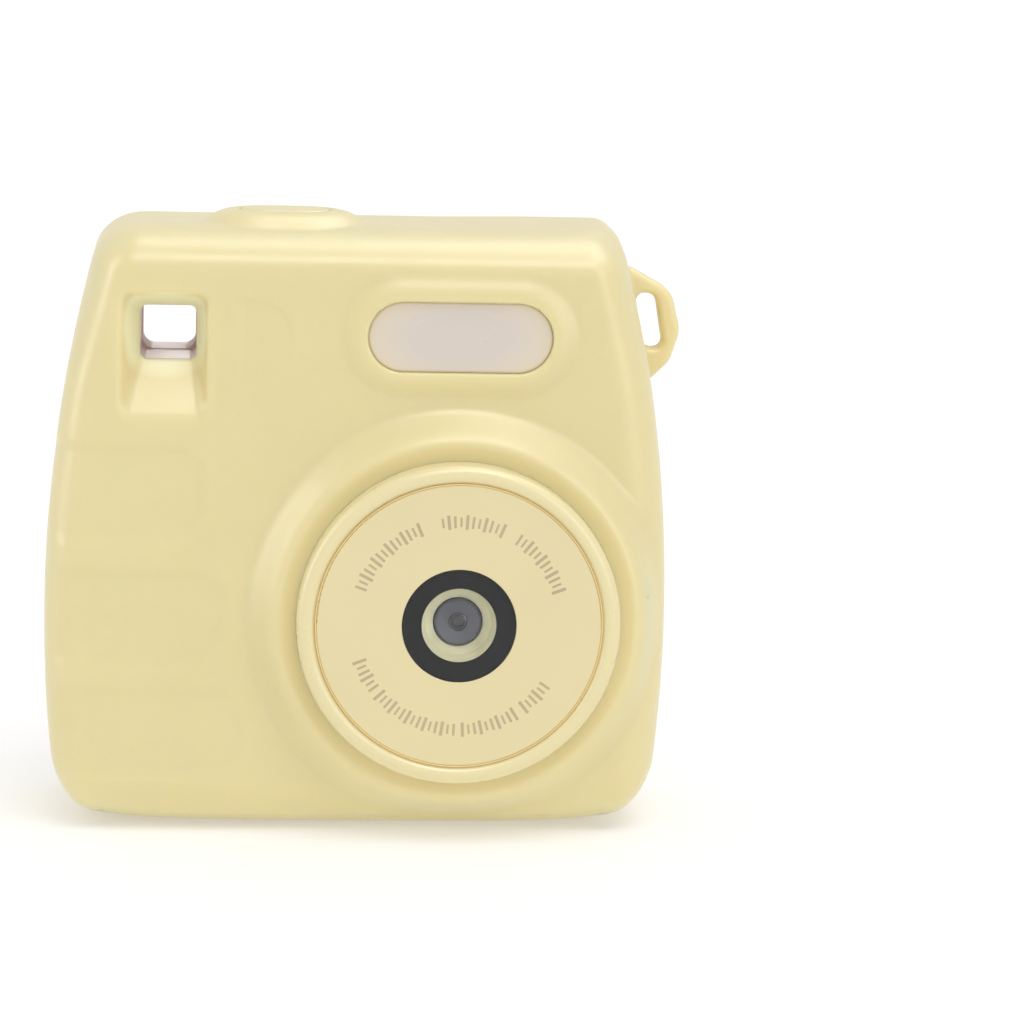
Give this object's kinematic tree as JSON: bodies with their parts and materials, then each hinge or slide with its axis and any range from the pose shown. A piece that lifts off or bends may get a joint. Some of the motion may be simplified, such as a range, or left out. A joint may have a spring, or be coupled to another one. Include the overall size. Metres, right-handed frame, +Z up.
{
  "type": "kids digital camera",
  "caption": "Boxy children's digital camera with bowed sides in a soft sleeve: big round lens, flash window, see-through viewfinder, strap eye, shutter button, rear screen and keys.",
  "frame": {"origin": "centre of the flat base, half-way through the depth of the body", "axes": "+X to the right seen from the front, +Y to the back, +Z up; the lens looks along -Y"},
  "size_m": [0.1017, 0.0452, 0.0991],
  "materials": {
    "silicone": "soft-touch silicone, satin, pale yellow",
    "shell_plastic": "fine satin moulded ABS, pinkish off-white",
    "ring_plastic": "smooth moulded ABS, pale yellow",
    "plate_plastic": "satin moulded ABS with a pale print, pale yellow",
    "well_plastic": "satin moulded ABS, beige",
    "clear_plastic": "clear polished acrylic",
    "mask_ink": "matt black screen-printed film",
    "lens_black": "fine-ribbed dark grey plastic",
    "optical_glass": "coated optical glass",
    "diffuser": "milky translucent polycarbonate",
    "reflector_white": "white glossy tray",
    "led": "yellow phosphor under clear resin",
    "circuit_board": "green solder mask",
    "chip_black": "moulded black epoxy",
    "screw_steel": "zinc-plated steel",
    "flex": "amber polyimide film",
    "battery_wrap": "aluminium-polymer pouch with tape ends",
    "foam": "closed-cell foam",
    "wire_insulation": "soft red and black insulation",
    "speaker_frame": "black moulded frame",
    "metal_shell": "stamped nickel-plated steel",
    "display_panel": "dark glossy liquid-crystal panel",
    "display_glass": "dark tinted glossy acrylic",
    "key_plastic": "satin moulded ABS, pale yellow",
    "switch_black": "black moulded switch bodies"
  },
  "bodies": {
    "case": {"silicone_sleeve": "silicone", "front_shell": "shell_plastic", "rear_shell": "shell_plastic", "case_screws": "screw_steel", "lens_ring": "ring_plastic", "lens_screws": "screw_steel", "lens_plate": "plate_plastic", "lens_window": "clear_plastic", "lens_mask_ring": "mask_ink", "lens_well": "well_plastic", "lens_barrel": "lens_black", "lens_glass": "optical_glass", "camera_module": "chip_black", "camera_holder": "shell_plastic", "holder_screws": "screw_steel", "camera_ribbon": "flex", "flash_window": "diffuser", "flash_reflector": "reflector_white", "flash_leds": "led", "flash_board": "circuit_board", "shutter_switch": "switch_black", "shutter_board": "circuit_board", "main_board": "circuit_board", "board_chips": "chip_black", "board_screws": "screw_steel", "battery": "battery_wrap", "battery_pad": "foam", "battery_leads": "wire_insulation", "speaker": "speaker_frame", "speaker_leads": "wire_insulation", "microphone": "metal_shell", "charge_lamp": "clear_plastic", "display_module": "display_panel", "display_gasket": "foam", "display_window": "display_glass", "display_ribbon": "flex", "usb_socket": "metal_shell", "card_socket": "metal_shell", "key_switches": "switch_black"},
    "shutter": {"shutter_button": "key_plastic"},
    "up_key": {"key_up": "key_plastic"},
    "down_key": {"key_down": "key_plastic"},
    "left_key": {"key_left": "key_plastic"},
    "right_key": {"key_right": "key_plastic"},
    "ok_key": {"key_ok": "key_plastic"},
    "menu_key": {"key_menu": "key_plastic"},
    "play_key": {"key_play": "key_plastic"},
    "power_key": {"key_power": "key_plastic"}
  },
  "joints": [
    {"name": "shutter_press", "type": "slide", "parent": "case", "child": "shutter", "axis": [0, 0, -1], "range_m": [0, 0.0008], "stiffness_N_per_m": 600, "springref_m": -0.0015},
    {"name": "key_up_press", "type": "slide", "parent": "case", "child": "up_key", "axis": [0, -1, 0], "range_m": [0, 0.0005], "stiffness_N_per_m": 500, "springref_m": -0.001},
    {"name": "key_down_press", "type": "slide", "parent": "case", "child": "down_key", "axis": [0, -1, 0], "range_m": [0, 0.0005], "stiffness_N_per_m": 500, "springref_m": -0.001},
    {"name": "key_left_press", "type": "slide", "parent": "case", "child": "left_key", "axis": [0, -1, 0], "range_m": [0, 0.0005], "stiffness_N_per_m": 500, "springref_m": -0.001},
    {"name": "key_right_press", "type": "slide", "parent": "case", "child": "right_key", "axis": [0, -1, 0], "range_m": [0, 0.0005], "stiffness_N_per_m": 500, "springref_m": -0.001},
    {"name": "key_ok_press", "type": "slide", "parent": "case", "child": "ok_key", "axis": [0, -1, 0], "range_m": [0, 0.0005], "stiffness_N_per_m": 500, "springref_m": -0.001},
    {"name": "key_menu_press", "type": "slide", "parent": "case", "child": "menu_key", "axis": [0, -1, 0], "range_m": [0, 0.0005], "stiffness_N_per_m": 500, "springref_m": -0.001},
    {"name": "key_play_press", "type": "slide", "parent": "case", "child": "play_key", "axis": [0, -1, 0], "range_m": [0, 0.0005], "stiffness_N_per_m": 500, "springref_m": -0.001},
    {"name": "key_power_press", "type": "slide", "parent": "case", "child": "power_key", "axis": [0, -1, 0], "range_m": [0, 0.0005], "stiffness_N_per_m": 500, "springref_m": -0.001}
  ]
}
